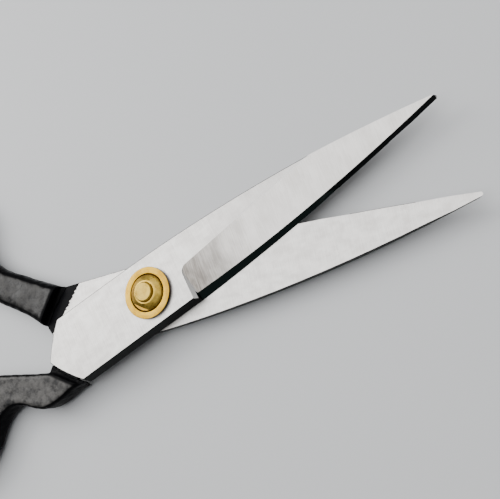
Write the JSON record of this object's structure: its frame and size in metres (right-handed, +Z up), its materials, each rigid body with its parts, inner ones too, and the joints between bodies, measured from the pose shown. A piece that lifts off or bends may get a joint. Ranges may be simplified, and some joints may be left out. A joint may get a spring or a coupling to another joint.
{
  "type": "tailor's shears",
  "caption": "Open tailor's shears with ground steel blades, cast enamelled finger and thumb bows and an adjustable brass pivot.",
  "frame": {"origin": "centre of the pivot bolt's flat head, on the surface that the shears rest on", "axes": "+X between the two tips, +Y towards the thumb bow's side, +Z up along the pivot axis, out of the nut"},
  "size_m": [0.2537, 0.1238, 0.0145],
  "materials": {
    "blade_steel": "satin ground",
    "handle_enamel": "semi-gloss enamel on a rough casting",
    "pivot_brass": "satin turned"
  },
  "bodies": {
    "lower_half": {"lower_blade": "blade_steel", "thumb_handle": "handle_enamel", "pivot_bolt": "pivot_brass", "pivot_washer": "pivot_brass", "spring_washer": "pivot_brass", "pivot_nut": "pivot_brass"},
    "upper_half": {"upper_blade": "blade_steel", "finger_handle": "handle_enamel"}
  },
  "joints": [
    {"name": "pivot", "type": "hinge", "parent": "lower_half", "child": "upper_half", "pos_m": [0, 0, 0.0086], "axis": [0, 0, 1], "range_deg": [-19, 120]}
  ]
}
